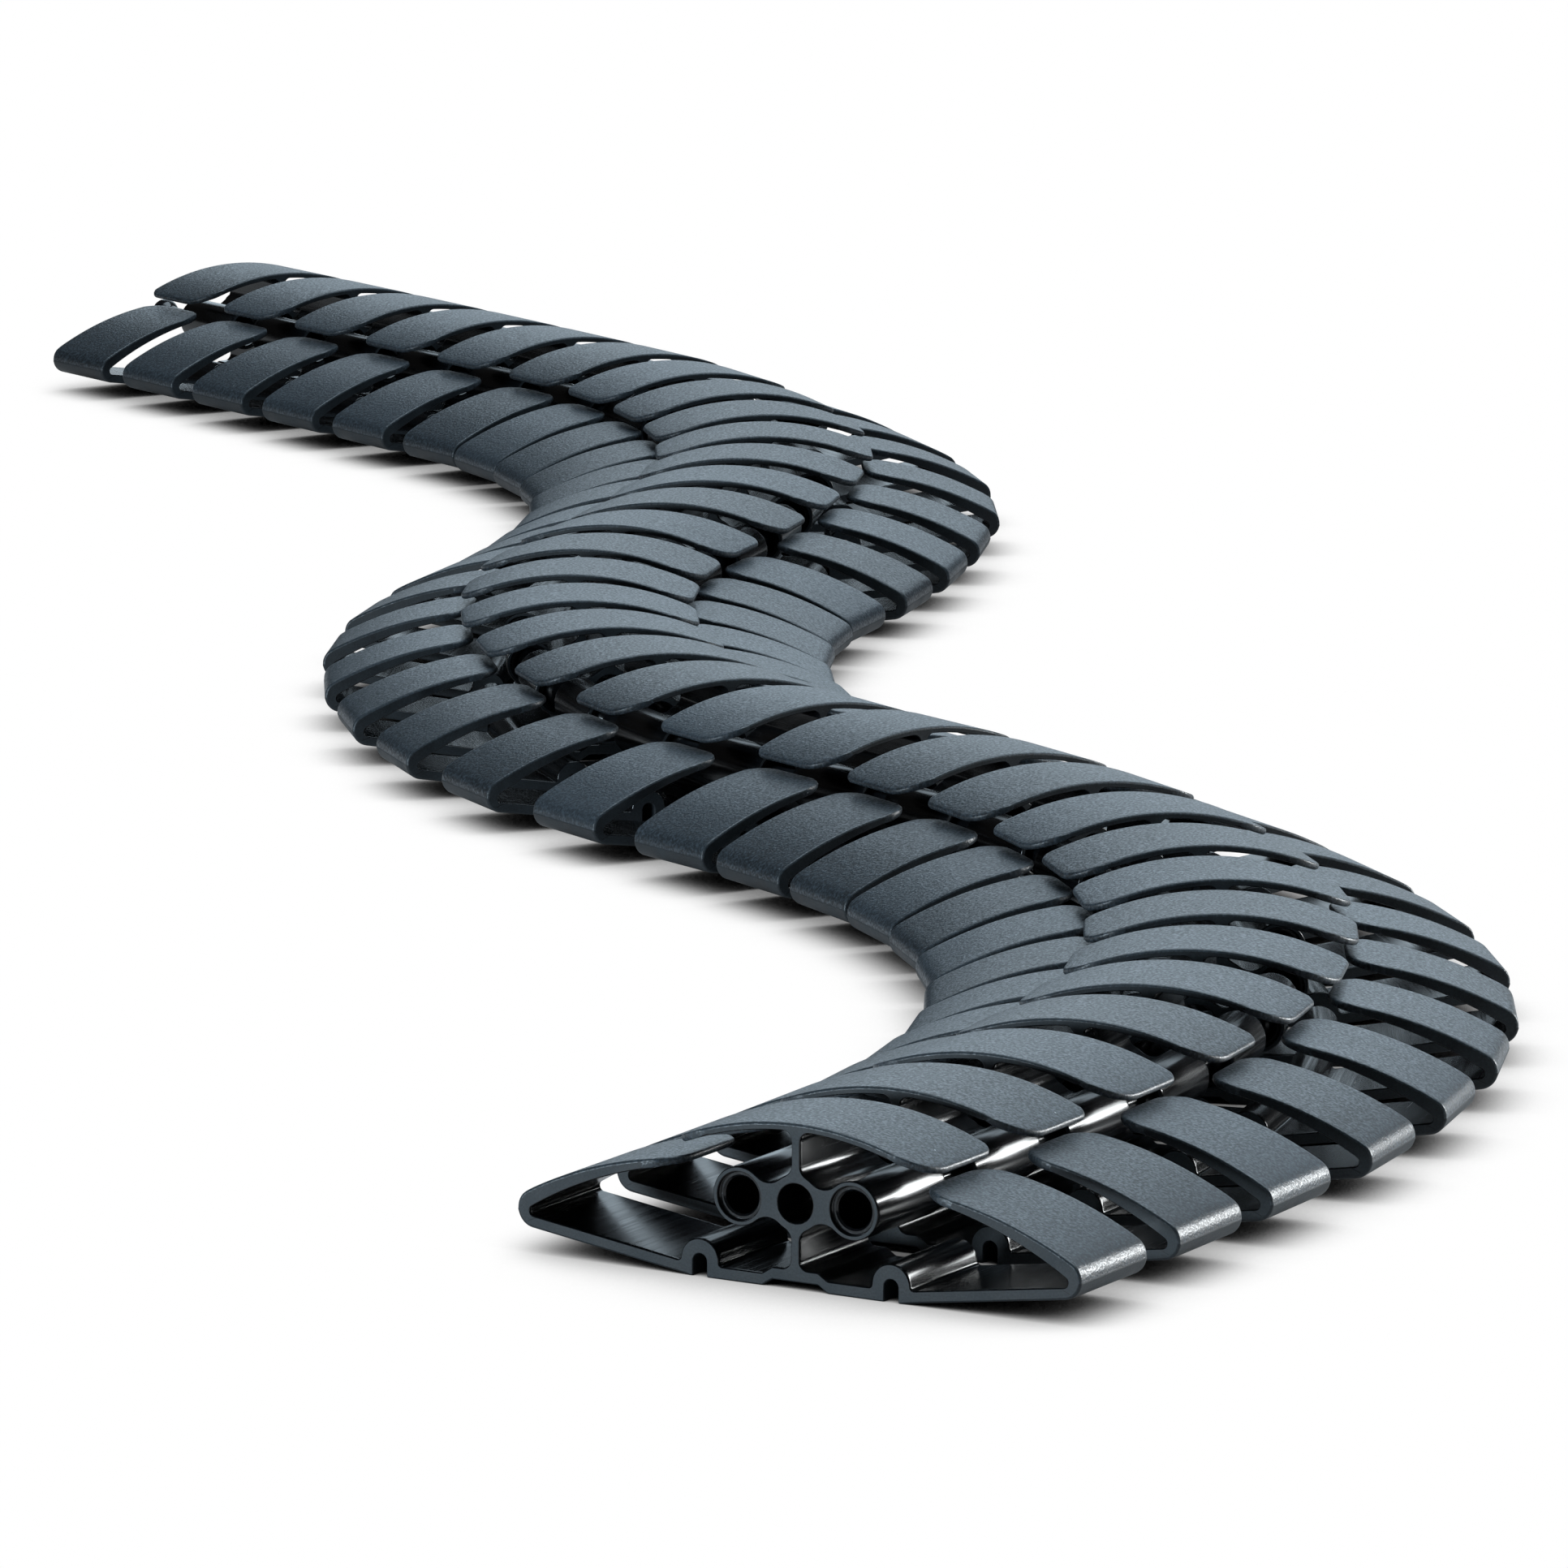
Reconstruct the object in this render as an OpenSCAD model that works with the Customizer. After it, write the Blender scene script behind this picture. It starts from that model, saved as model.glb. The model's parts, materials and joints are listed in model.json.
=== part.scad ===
// Cable spine for the floor: a flat chain of identical moulded vertebrae.
// Each vertebra carries two ball studs at its rear that snap into the two outer tubes of the next one.

/* [Vertebra] */
// Width across the two noses
link_w = 96; // [88:1:110]
// Height from the floor to the crown of the top leaf
link_h = 25; // [24.5:0.5:28]
// Length of one vertebra along the spine
link_len = 20.6; // [18:0.2:22]
// Free gap between two neighbouring vertebrae on a straight run
link_gap = 8.8; // [8.8:0.2:11]

/* [Tubes and ball joints] */
// Height of the three tube axes above the floor
axis_h = 13; // [12.4:0.2:13.6]
// Diameter of a ball stud
ball_d = 5.9; // [5:0.1:6.2]
// Radial play of a ball in its tube
ball_play = 0.25; // [0.2:0.05:0.4]
// Wall of the outer tubes
tube_wall = 1.3; // [1:0.1:1.6]
// Space between the outer tubes and the middle boss
tube_space = 0.7; // [0.4:0.1:1.4]
// Wall of the middle boss around its bore
boss_wall = 1.4; // [1.1:0.1:1.6]
// Diameter of the plain bore through the middle boss
mid_bore_d = 6; // [5.4:0.1:6.2]
// Diameter of the neck that carries a ball
neck_d = 3; // [2.4:0.1:3.2]
// Width by which the socket lip catches the ball, all round
lip_catch = 0.1; // [0.05:0.05:0.15]
// Depth of the wide mouth of a socket
mouth_depth = 0.7; // [0.5:0.1:1.4]
// Step from the wall of the mouth down to the lip
mouth_step = 0.85; // [0.6:0.05:0.9]
// Chamfer that leads the ball into the lip
lip_chamfer = 0.3; // [0.2:0.1:0.5]
// Length of the lip behind its chamfer
lip_len = 0.3; // [0.3:0.1:0.6]
// Gap left between a ball and its lip at the largest turn
lip_clear = 0.05; // [0.03:0.01:0.1]
// Thickness of the closed rear end of an outer tube
tube_end_t = 2; // [1.5:0.1:3]
// Largest turn between two vertebrae, in degrees
max_turn = 9.5; // [6:0.5:10]

/* [Top leaf] */
// Half length of the top leaf across the spine
leaf_half = 22.2; // [20:0.2:24]
// Thickness of the top leaf
leaf_t = 1.2; // [1:0.1:1.6]
// Radius of the arched upper face of the leaf
leaf_r = 52; // [50:1:66]
// Corner radius of the leaf at its front edge, in plan
leaf_front_r = 6.3; // [4:0.1:8]
// Corner radius of the leaf at its rear edge, in plan
leaf_rear_r = 2.7; // [1.5:0.1:5]

/* [Side wings] */
// Distance of the wing tips from the middle plane
wing_tip_x = 20.2; // [19:0.2:23]
// Height of the outer face of the wings at their tips
wing_tip_h = 17.4; // [16.6:0.1:17.8]
// Wall of a wing at its tip
wing_tip_t = 1; // [0.8:0.1:1.4]
// Wall of a wing at its nose
wing_nose_t = 2.4; // [2:0.1:2.8]
// Radius of the arched outer face of a wing
wing_r = 66; // [58:1:80]
// Corner radius of a wing tip at its front edge, in plan
wing_front_r = 6; // [3:0.1:7]
// Corner radius of a wing tip at its rear edge, in plan
wing_rear_r = 5.5; // [3:0.1:7]
// Radius of the rounded nose
nose_r = 3; // [2.6:0.1:3.4]
// Height of the nose centre above the floor
nose_h = 6.9; // [6.2:0.1:7.6]

/* [Base and web] */
// Thickness of the base
base_t = 1.9; // [1.4:0.1:2.4]
// Half width of the part of the base that lies flat on the floor
flat_half = 18; // [16:1:22]
// Half width of the groove under the web, at the floor
groove_half = 5.6; // [4.6:0.1:7]
// Depth of the groove under the web
groove_h = 1.1; // [0.8:0.1:1.4]
// Inset of the sloping sides of the groove
groove_slope = 1.7; // [1:0.1:2]
// Thickness of the upright web
web_t = 1.5; // [1.3:0.1:2.4]
// Distance of the two floor ribs from the middle plane
rib_x = 16.3; // [15:0.1:17]
// Outer radius of a rib
rib_r = 3.25; // [2.9:0.05:3.5]
// Height of the centre of a rib above the floor
rib_h = 2.6; // [2.2:0.1:3]
// Width of the round-topped slot in the underside of a rib
slot_w = 2.3; // [1.8:0.1:2.8]
// Height of that slot
slot_h = 3.5; // [2.8:0.1:3.8]

/* [Fillets] */
// Fillet where the web meets the leaf and the base
web_fillet = 1.5; // [0.8:0.1:2]
// Fillet where the web meets the middle boss
boss_fillet = 2; // [1:0.1:2.6]
// Fillet between the tubes and the middle boss
tube_fillet = 3; // [2.4:0.1:4]
// Rounding of the narrow end of a cable chamber
chamber_end_r = 0.8; // [0.6:0.1:1.1]
// Fillet where a rib stands on the base
rib_fillet = 0.6; // [0.3:0.1:1]
// Fillet where a stud neck meets its tube
neck_fillet = 0.7; // [0.4:0.1:1]

/* [Hidden] */
$fn = 64;
eps = 0.05;
// Rounds reach this far into the walls they join, so that no two faces only touch
bite = 0.01;

// The lay on the floor: runs of joints, each with the turn of one joint to the left in degrees
lay = [[2, 1], [2, 6], [3, 7.5], [3, 7], [2, 4.5], [1, -3.5], [6, -7.5], [1, -7],
       [3, 4], [2, 9], [3, 7.5], [5, 0.5]];
turns = [for (run = lay) for (k = [1:run[0]]) run[1]];
count = len(turns) + 1;
headings = [for (i = 0, h = 0; i < count; h = h + (i < count - 1 ? turns[i] : 0), i = i + 1) h];

// Tubes, sockets and studs
pitch = link_len + link_gap;
ball_r = ball_d / 2;
lip_r = ball_r - lip_catch;
bore_r = ball_r + ball_play;
mouth_r = lip_r + mouth_step;
tube_r = bore_r + tube_wall;
boss_r = mid_bore_d / 2 + boss_wall;
tube_x = tube_r + boss_r + tube_space;
slide = tube_x * sin(max_turn);
sway = tube_x * (1 - cos(max_turn));
lip_seat = sqrt(pow(ball_r, 2) - pow(lip_r - sway - lip_clear, 2));
lip_end = mouth_depth + lip_chamfer + lip_len;
ball_depth = lip_end + lip_seat + slide;
bore_end = link_len - tube_end_t;

// Where the ball centres of each vertebra's own sockets lie on the floor plan
function step(h) = pitch * [-sin(h), cos(h)];
seats = [for (i = 0, p = [0, 0]; i < count; p = p + step(headings[i]), i = i + 1) p];
front_y = -ball_depth;
rear_y = link_len - ball_depth;
function turned(p, h) = [p[0] * cos(h) - p[1] * sin(h), p[0] * sin(h) + p[1] * cos(h)];
corners = [for (i = [0:count - 1]) for (x = [-1, 1]) for (y = [front_y, rear_y])
    seats[i] + turned([x * link_w / 2, y], headings[i])];
xs = [for (c = corners) c[0]];
ys = [for (c = corners) c[1]];
middle = [(min(xs) + max(xs)) / 2, (min(ys) + max(ys)) / 2];

// Arched outer face of a wing: through its tip, tangent to the round of the nose
nose = [link_w / 2 - nose_r, nose_h];
tip = [wing_tip_x, wing_tip_h];
function lower_centre(a, ra, b, rb) =
    let (d = norm(b - a), u = (b - a) / d, t = (ra * ra - rb * rb + d * d) / (2 * d),
         h = sqrt(ra * ra - t * t), low = a + t * u + h * [u[1], -u[0]])
    low;
seam_r = nose_r - bite;
wing_c = lower_centre(tip, wing_r, nose, wing_r - seam_r);
nose_top = nose + seam_r * (nose - wing_c) / norm(nose - wing_c);

// Underside: level to flat_half, then a straight rise that ends tangent to the nose
reach = nose - [flat_half, 0];
rise = acos(seam_r / norm(reach)) - atan2(reach[0], reach[1]);
nose_low = nose + seam_r * [sin(rise), -cos(rise)];

// Inner face of a wing: the same arch moved inwards, so that the wall grows from tip to nose
tip_n = (tip - wing_c) / wing_r;
nose_n = (nose_top - wing_c) / wing_r;
det = tip_n[0] * nose_n[1] - tip_n[1] * nose_n[0];
shift = [(-wing_tip_t * nose_n[1] + wing_nose_t * tip_n[1]) / det,
         (-wing_nose_t * tip_n[0] + wing_tip_t * nose_n[0]) / det];
inner_c = wing_c + shift;

// Narrow end of a cable chamber: a round tangent to the floor and to the inner face of the wing
floor_0 = [flat_half, base_t];
floor_u = [cos(rise), sin(rise)];
end_from = floor_0 + chamber_end_r * [-sin(rise), cos(rise)] - inner_c;
end_b = end_from * floor_u;
end_t = -end_b + sqrt(pow(end_b, 2) - end_from * end_from + pow(wing_r - chamber_end_r, 2));
end_c = inner_c + end_from + end_t * floor_u;
end_low = end_c + chamber_end_r * [sin(rise), -cos(rise)];
end_top = inner_c + wing_r * (end_c - inner_c) / norm(end_c - inner_c);

leaf_low = link_h - leaf_t;
strip_h = groove_h + base_t;
groove_top = groove_half - groove_slope;
slit_h = (wing_tip_h + link_h - leaf_r - leaf_t + sqrt(pow(leaf_r, 2) - pow(leaf_half, 2))) / 2;

function node_name(i) = str("vertebra_", i < 9 ? "0" : "", i + 1);

// Silhouette of the right half below the outer face of the wing, with the groove under the web
module outline() {
    intersection() {
        translate(wing_c) circle(wing_r, $fn = 360);
        polygon([[-eps, groove_h], [groove_top, groove_h], [groove_half, 0], [flat_half, 0], nose_low,
                 nose, nose_top, [nose_top[0], link_h], [-eps, link_h]]);
    }
    translate(nose) circle(nose_r);
}

// Free space inside the right half: above the base and under the wing
module chamber() {
    intersection() {
        translate(inner_c) circle(wing_r, $fn = 360);
        polygon([[-2 * eps, strip_h], [groove_top, strip_h], [groove_half, base_t], floor_0, end_low,
                 end_c, end_top, [end_top[0], link_h], [-2 * eps, link_h]]);
    }
    translate(end_c) circle(chamber_end_r + bite);
}

// Base, nose and wing of the right half, with the wing open at its tip
module shell() {
    difference() {
        outline();
        chamber();
        translate([-1, axis_h / 2]) square([wing_tip_x + 1, link_h]);
    }
}

// Centre of the fillet between a rib and the floor that passes through floor_0 in direction u
function foot_centre(u) =
    let (n = u[0] > 0 ? [-u[1], u[0]] : [u[1], -u[0]], from = floor_0 + rib_fillet * n - [rib_x, rib_h],
         b = from * u)
    [rib_x, rib_h] + from + u * (-b + sqrt(b * b - from * from + pow(rib_r + rib_fillet, 2)));

module rib_foot(u) {
    c = foot_centre(u);
    low = floor_0 + u * ((c - floor_0) * u);
    difference() {
        polygon([[rib_x, rib_h], c, low, low - [0, base_t / 2], [rib_x, base_t / 2]]);
        translate(c) circle(rib_fillet + bite);
    }
}

// Hollow floor rib, standing on the base
module rib() {
    intersection() {
        translate([rib_x, rib_h]) circle(rib_r);
        translate([rib_x - rib_r, base_t / 2]) square([2 * rib_r, link_h]);
    }
    rib_foot(floor_u);
    rib_foot([-1, 0]);
}

module rib_slot() {
    translate([rib_x, slot_h - slot_w / 2]) circle((slot_w + bite) / 2);
    translate([rib_x - slot_w / 2, -1]) square([slot_w, slot_h - slot_w / 2 + 1]);
}

// Concave fillet of radius r between two rounds of radius ra and rb that stand apart
module waist(a, ra, b, rb, r) {
    low = lower_centre(a, ra + r, b, rb + r);
    high = [low[0], 2 * a[1] - low[1]];
    difference() {
        polygon([a, low, b, high]);
        translate(low) circle(r + bite);
        translate(high) circle(r + bite);
    }
}

// Fillet between the right face of the web and the boss, towards the leaf (1) or the base (-1)
module web_to_boss(side) {
    x = web_t / 2 + boss_fillet;
    z = axis_h + side * sqrt(pow(boss_r + boss_fillet, 2) - pow(x, 2));
    difference() {
        polygon([[0, axis_h], [x, z], [0, z]]);
        translate([x, z]) circle(boss_fillet + bite);
    }
}

// Fillet between the right face of the web and the level z, which it meets from below (1) or above (-1)
module web_to_level(z, side) {
    x = web_t / 2 + web_fillet;
    difference() {
        polygon([[0, z - side * web_fillet], [x, z - side * web_fillet], [x, z + side * leaf_t / 2],
                 [0, z + side * leaf_t / 2]]);
        translate([x, z - side * web_fillet]) circle(web_fillet + bite);
    }
}

module leaf_profile() {
    intersection() {
        translate([0, link_h - leaf_r]) difference() {
            circle(leaf_r, $fn = 360);
            circle(leaf_r - leaf_t, $fn = 360);
        }
        translate([-leaf_half, axis_h]) square([2 * leaf_half, link_h]);
    }
}

// Front view of a vertebra, without the bores
module profile() {
    difference() {
        union() {
            for (m = [0, 1]) mirror([m, 0]) {
                shell();
                rib();
                translate([tube_x, axis_h]) circle(tube_r);
                waist([0, axis_h], boss_r, [tube_x, axis_h], tube_r, tube_fillet);
                web_to_boss(1);
                web_to_boss(-1);
                web_to_level(leaf_low - eps, 1);
                web_to_level(strip_h, -1);
            }
            translate([0, axis_h]) circle(boss_r);
            translate([-web_t / 2, groove_h + base_t / 2]) square([web_t, leaf_low + leaf_t / 2 - strip_h]);
            leaf_profile();
        }
        for (m = [0, 1]) mirror([m, 0]) rib_slot();
    }
}

// Upright cutter that rounds a corner to radius r: the corner is at the origin, the piece at +x and +y
module corner(r, z0, z1) {
    translate([0, 0, z0]) linear_extrude(z1 - z0) difference() {
        translate([-1, -1]) square(r + 1);
        translate([r, r]) circle(r + bite);
    }
}

// Rounds of the leaf end and of the wing tip on the right
module corner_cuts() {
    translate([leaf_half, front_y, 0]) mirror([1, 0, 0]) corner(leaf_front_r, slit_h, link_h);
    translate([leaf_half, rear_y, 0]) rotate(180) corner(leaf_rear_r, slit_h, link_h);
    translate([wing_tip_x, front_y, 0]) corner(wing_front_r, axis_h, slit_h);
    translate([wing_tip_x, rear_y, 0]) mirror([0, 1, 0]) corner(wing_rear_r, axis_h, slit_h);
}

// Blind socket of an outer tube: wide mouth, lip and running bore, along +z from its mouth
module socket() {
    rotate_extrude() polygon([[0, -1], [mouth_r, -1], [mouth_r, mouth_depth],
        [lip_r + lip_chamfer, mouth_depth], [lip_r, mouth_depth + lip_chamfer], [lip_r, lip_end],
        [bore_r, lip_end + bore_r - lip_r], [bore_r, bore_end], [0, bore_end]]);
}

// Ball stud with its neck, along +z from the rear end of its tube
module stud() {
    reach = pitch - rear_y;
    foot_r = neck_d / 2 + neck_fillet;
    root = tube_end_t / 2;
    rotate_extrude() {
        intersection() {
            translate([0, reach]) circle(ball_r);
            translate([0, reach - ball_r]) square(ball_d);
        }
        translate([0, -root]) square([neck_d / 2, reach + root]);
        difference() {
            translate([0, -root]) square([foot_r, neck_fillet + root]);
            translate([foot_r, neck_fillet]) circle(neck_fillet + bite);
        }
    }
}

// One vertebra: its socket seats are level with the origin, its front faces -y
module link() {
    difference() {
        translate([0, rear_y, 0]) rotate([90, 0, 0]) linear_extrude(link_len) profile();
        for (m = [0, 1]) mirror([m, 0, 0]) {
            corner_cuts();
            translate([tube_x, front_y, axis_h]) rotate([-90, 0, 0]) socket();
        }
        translate([0, front_y - 1, axis_h]) rotate([-90, 0, 0]) cylinder(d = mid_bore_d, h = link_len + 2);
    }
    for (x = [-tube_x, tube_x]) translate([x, rear_y, axis_h]) rotate([-90, 0, 0]) stud();
}

module vertebra(i) {
    color("#2b2d30") translate([seats[i][0] - middle[0], seats[i][1] - middle[1], 0])
        rotate(headings[i]) link();
}

for (i = [0:count - 1]) vertebra(i);
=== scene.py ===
import bpy
import bmesh
import json
import math
import random
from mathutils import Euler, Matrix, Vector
from mathutils.geometry import tessellate_polygon


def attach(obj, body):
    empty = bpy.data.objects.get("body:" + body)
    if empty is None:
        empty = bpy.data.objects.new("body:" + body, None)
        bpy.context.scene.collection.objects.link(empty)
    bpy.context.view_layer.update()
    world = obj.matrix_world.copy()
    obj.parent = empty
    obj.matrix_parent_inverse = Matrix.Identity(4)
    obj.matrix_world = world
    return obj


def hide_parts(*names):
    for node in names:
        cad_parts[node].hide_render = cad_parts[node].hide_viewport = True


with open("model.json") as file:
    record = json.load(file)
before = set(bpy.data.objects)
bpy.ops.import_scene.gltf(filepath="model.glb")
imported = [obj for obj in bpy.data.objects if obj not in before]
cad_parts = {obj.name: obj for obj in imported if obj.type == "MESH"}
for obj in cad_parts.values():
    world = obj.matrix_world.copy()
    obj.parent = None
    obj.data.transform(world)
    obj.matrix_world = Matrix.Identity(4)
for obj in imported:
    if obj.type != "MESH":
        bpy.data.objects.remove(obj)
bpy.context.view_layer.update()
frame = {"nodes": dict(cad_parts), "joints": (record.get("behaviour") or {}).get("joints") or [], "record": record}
scene = bpy.context.scene
scene.view_settings.view_transform = "Standard"


def hexToLinear(code):
    channels = [int(code[k:k + 2], 16) / 255 for k in (1, 3, 5)]
    return tuple(c / 12.92 if c <= 0.04045 else ((c + 0.055) / 1.055) ** 2.4 for c in channels) + (1.0,)


# Sockets go by name, or by number where names repeat: Map Range has from min, from max, to min and to max at
# 1 to 4, Mix its two colours at 6 and 7, and Compare its two whole numbers at 2 and 3
def addNode(tree, kind, values=None, links=None, **settings):
    node = tree.nodes.new(kind)
    for name, value in settings.items():
        setattr(node, name, value)
    for key, value in (values or {}).items():
        node.inputs[key].default_value = value
    for key, source in (links or {}).items():
        tree.links.new(source, node.inputs[key])
    return node


def newMaterial(name):
    material = bpy.data.materials.new(name)
    material.use_nodes = True
    material.node_tree.nodes.clear()
    return material, material.node_tree


# One vertebra, in millimetres: x across, y along the spine, z up, ball seats of its sockets at y 0
vertebra = {
    "width": 96.0, "height": 25.0, "front": -4.1424, "rear": 16.4576, "pitch": 29.4,
    # top leaf
    "leafHalf": 22.2, "leafThick": 1.2, "leafArch": 52.0, "leafFrontCorner": 6.3, "leafRearCorner": 2.7,
    # side wing, from its free tip to the nose, which eases into the wing and has a hair of flash
    "tipX": 20.2, "tipHeight": 17.4, "tipThick": 1.0, "noseThick": 2.4, "wingArch": 66.0,
    "wingFrontCorner": 6.0, "wingRearCorner": 5.5, "noseRound": 3.0, "noseHeight": 6.9,
    "noseEase": 5.0, "noseEaseDeg": 16.0, "flash": 0.05, "flashDeg": (-9.0, -7.5, -4.5, -3.0),
    # base with its groove, ribs and slots
    "base": 1.9, "flatHalf": 18.0, "riseBlend": 0.6, "grooveHalf": 5.6, "grooveHeight": 1.1,
    "grooveSlope": 1.7, "grooveSoft": 0.5, "lipSoft": 0.4, "stripSoft": 0.6, "stripBlend": 0.8,
    "ribX": 16.3, "ribRound": 3.25, "ribHeight": 2.6, "ribFillet": 0.6,
    "slotWidth": 2.3, "slotHeight": 3.5, "slotSoft": 0.25,
    # web, middle boss and tubes
    "web": 1.5, "axisHeight": 13.0, "tubeX": 9.6, "tubeRound": 4.5, "bossRound": 4.4,
    "webFillet": 1.5, "bossFillet": 2.0, "tubeFillet": 3.0, "chamberEnd": 0.8,
    # rounded edges at the two ends, and the places between them where the outline is drawn again
    "frontEdge": 0.42, "rearEdge": 0.6, "edgeSteps": 4, "rimReach": 0.36,
    "fromFront": (0.75, 1.2, 1.8, 2.6, 3.6, 4.8, 6.3, 10.5), "fromRear": (5.5, 4.2, 3.1, 2.3, 1.6, 1.0),
    # mitre limit in tight corners, reach of the merge, angle of a sharp edge, what counts as a flat end
    "mitreLimit": 0.75, "weld": 1e-5, "sharpDeg": 38.0, "flatEnd": 0.99,
}
# Bores and studs of the ball joints, in millimetres
ballJoint = {
    "mouthRound": 3.7, "mouthDepth": 0.7, "mouthEdge": 0.16, "edgeShare": 0.3, "mouthCorner": 0.15,
    "lipRound": 2.85, "lipChamfer": 0.3, "lipEnd": 1.3, "boreRound": 3.2, "boreEnd": 18.6, "boreCorner": 0.5,
    "middleBore": 3.0, "boreSegments": 40,
    "ballRound": 2.95, "neckRound": 1.5, "neckFillet": 0.7, "studRoot": 0.6, "studSeat": 0.02,
    "neckBlend": 0.35, "ballStart": 0.12, "ballSteps": 14, "filletSteps": 5, "studSegments": 32,
}
outerFinish, innerFinish, endFinish = 0, 1, 2
# Stretches of the outline: their finish, and their share of the end rounds, which is less on thin walls
underside = (endFinish, 0.6)
slotSide = (endFinish, 0.5)
slotCrown = (endFinish, 0.4)
rising = (endFinish, 0.8)
noseUnder = (endFinish, 1.0)
outerSkin = (outerFinish, 1.0)
freeEdge = (outerFinish, 0.8)
innerWall = (innerFinish, 0.45)


# Runs leave out their last point, where the next run starts
def arcRun(centre, radius, startDeg, endDeg, steps):
    run = []
    for k in range(steps):
        a = math.radians(startDeg + (endDeg - startDeg) * k / steps)
        run.append((centre[0] + radius * math.cos(a), centre[1] + radius * math.sin(a)))
    return run


def lineRun(a, b, steps):
    return [(a[0] + (b[0] - a[0]) * k / steps, a[1] + (b[1] - a[1]) * k / steps) for k in range(steps)]


def bearing(origin, target):
    return math.degrees(math.atan2(target[1] - origin[1], target[0] - origin[0]))


# Round at corner p between a and b, with both its ends
def softCorner(a, p, b, radius, steps=4):
    corner = Vector(p)
    toA = (Vector(a) - corner).normalized()
    toB = (Vector(b) - corner).normalized()
    half = math.acos(max(-1, min(1, toA.dot(toB)))) / 2
    start = corner + toA * radius / math.tan(half)
    end = corner + toB * radius / math.tan(half)
    middle = (toA + toB).normalized() * (radius / math.sin(half)) + corner
    startDeg = bearing(middle, start)
    turn = (bearing(middle, end) - startDeg + 180) % 360 - 180
    return arcRun(middle, radius, startDeg, startDeg + turn, steps) + [tuple(end)]


# Easy passage from one round to a larger one that it touches: a parabola along the two tangents
def easeRun(centreA, radiusA, degA, centreB, radiusB, degB, steps):
    (a, alongA), (b, alongB) = [
        (Vector(c) + Vector((math.cos(t), math.sin(t))) * r, Vector((-math.sin(t), math.cos(t))))
        for c, r, t in ((centreA, radiusA, math.radians(degA)), (centreB, radiusB, math.radians(degB)))]
    corner = a + alongA * ((b - a).cross(alongB) / alongA.cross(alongB))
    run = []
    for k in range(steps):
        t = k / steps
        run.append(tuple(a * (1 - t) ** 2 + corner * 2 * t * (1 - t) + b * t ** 2))
    return run


# Lower one of the two points where two circles meet
def lowerMeeting(a, radiusA, b, radiusB):
    a, b = Vector(a), Vector(b)
    d = (b - a).length
    u = (b - a) / d
    t = (radiusA * radiusA - radiusB * radiusB + d * d) / (2 * d)
    return a + u * t + Vector((u.y, -u.x)) * math.sqrt(radiusA * radiusA - t * t)


# How far a point has to go in a direction until it is a radius away from the origin
def reachAlong(start, direction, radius):
    lean = start.dot(direction)
    return -lean + math.sqrt(lean ** 2 - start.dot(start) + radius ** 2)


# Centres and directions that the wing and the base share
def wingFrame():
    v = vertebra
    tip = Vector((v["tipX"], v["tipHeight"]))
    nose = Vector((v["width"] / 2 - v["noseRound"], v["noseHeight"]))
    wingCentre = lowerMeeting(tip, v["wingArch"], nose, v["wingArch"] - v["noseRound"])
    reach = nose - Vector((v["flatHalf"], 0))
    rise = math.acos(v["noseRound"] / reach.length) - math.atan2(reach.x, reach.y)
    # the inner face is the same arch, shifted so that the wall is as thick as asked at the tip and the nose
    tipFacing = (tip - wingCentre).normalized()
    noseFacing = (nose - wingCentre).normalized()
    apart = tipFacing.x * noseFacing.y - tipFacing.y * noseFacing.x
    shiftX = (v["noseThick"] * tipFacing.y - v["tipThick"] * noseFacing.y) / apart
    shiftZ = (v["tipThick"] * noseFacing.x - v["noseThick"] * tipFacing.x) / apart
    innerCentre = wingCentre + Vector((shiftX, shiftZ))
    return {
        "nose": nose, "wingCentre": wingCentre, "innerCentre": innerCentre, "rise": rise,
        "floorStart": Vector((v["flatHalf"], v["base"])),
        "floorAlong": Vector((math.cos(rise), math.sin(rise))),
        "floorUp": Vector((-math.sin(rise), math.cos(rise))),
    }


# Groove, flat, slot in the rib and the rise to the nose
def undersidePart(w):
    v = vertebra
    groove = (v["grooveHalf"] - v["grooveSlope"], v["grooveHeight"])
    lip = (v["grooveHalf"], 0.0)
    slotLeft = v["ribX"] - v["slotWidth"] / 2
    slotRight = v["ribX"] + v["slotWidth"] / 2
    slotTop = v["slotHeight"] - v["slotWidth"] / 2
    riseStart = (v["flatHalf"] + v["riseBlend"], v["riseBlend"] * math.tan(w["rise"]))
    noseLow = w["nose"] - w["floorUp"] * v["noseRound"]
    return [
        ([(0.0, groove[1])], underside),
        (softCorner((0.0, groove[1]), groove, lip, v["grooveSoft"]), underside),
        (softCorner(groove, lip, (slotLeft, 0.0), v["lipSoft"]), underside),
        (softCorner(lip, (slotLeft, 0.0), (slotLeft, slotTop), v["slotSoft"]), slotSide),
        (arcRun((v["ribX"], slotTop), v["slotWidth"] / 2, 180, 0, steps=12), slotCrown),
        ([(slotRight, slotTop)], slotSide),
        (softCorner((slotRight, slotTop), (slotRight, 0.0), (v["flatHalf"], 0.0), v["slotSoft"]), slotSide),
        ([(v["flatHalf"], 0.0)], underside),
        (lineRun(riseStart, noseLow, steps=6), rising),
    ]


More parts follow.
